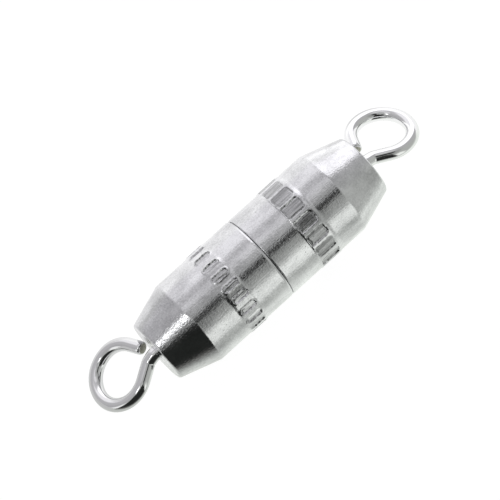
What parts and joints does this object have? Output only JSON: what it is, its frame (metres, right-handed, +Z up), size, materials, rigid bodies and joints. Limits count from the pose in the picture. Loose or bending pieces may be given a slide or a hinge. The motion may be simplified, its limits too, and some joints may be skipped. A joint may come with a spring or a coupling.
{
  "type": "barrel screw clasp",
  "caption": "Barrel screw clasp of two turned metal halves with rolled bands of dents, joined by a screw thread, with a swivelling wire eye at each end.",
  "frame": {"origin": "on the surface the clasp lies on, straight below the seam between the two halves", "axes": "+X along the barrel towards the plug half and its eye, +Z up; the barrel's axis is 2.29 mm above the origin"},
  "size_m": [0.02, 0.0046, 0.0046],
  "materials": {
    "barrel_plate": "silver-coloured plating on turned brass, satin",
    "eye_wire": "silver-coloured plating on drawn wire, bright"
  },
  "bodies": {
    "socket_half": {"socket_half": "barrel_plate"},
    "near_eye": {"near_eye": "eye_wire"},
    "far_eye": {"far_eye": "eye_wire"},
    "plug_half": {"plug_half": "barrel_plate"}
  },
  "joints": [
    {"name": "near_eye_swivel", "type": "hinge", "parent": "socket_half", "child": "near_eye", "pos_m": [-0.0065, 0, 0.00229], "axis": [1, 0, 0], "continuous": true},
    {"name": "plug_turn", "type": "hinge", "parent": "far_eye", "child": "plug_half", "pos_m": [0.0065, 0, 0.00229], "axis": [1, 0, 0], "range_deg": [0, 2161]},
    {"name": "far_eye_draw", "type": "slide", "parent": "socket_half", "child": "far_eye", "axis": [1, 0, 0], "range_m": [0, 0.003]}
  ],
  "couplings": [
    {"joint": "plug_turn", "follows": "far_eye_draw", "rad_per_m": 12566}
  ]
}
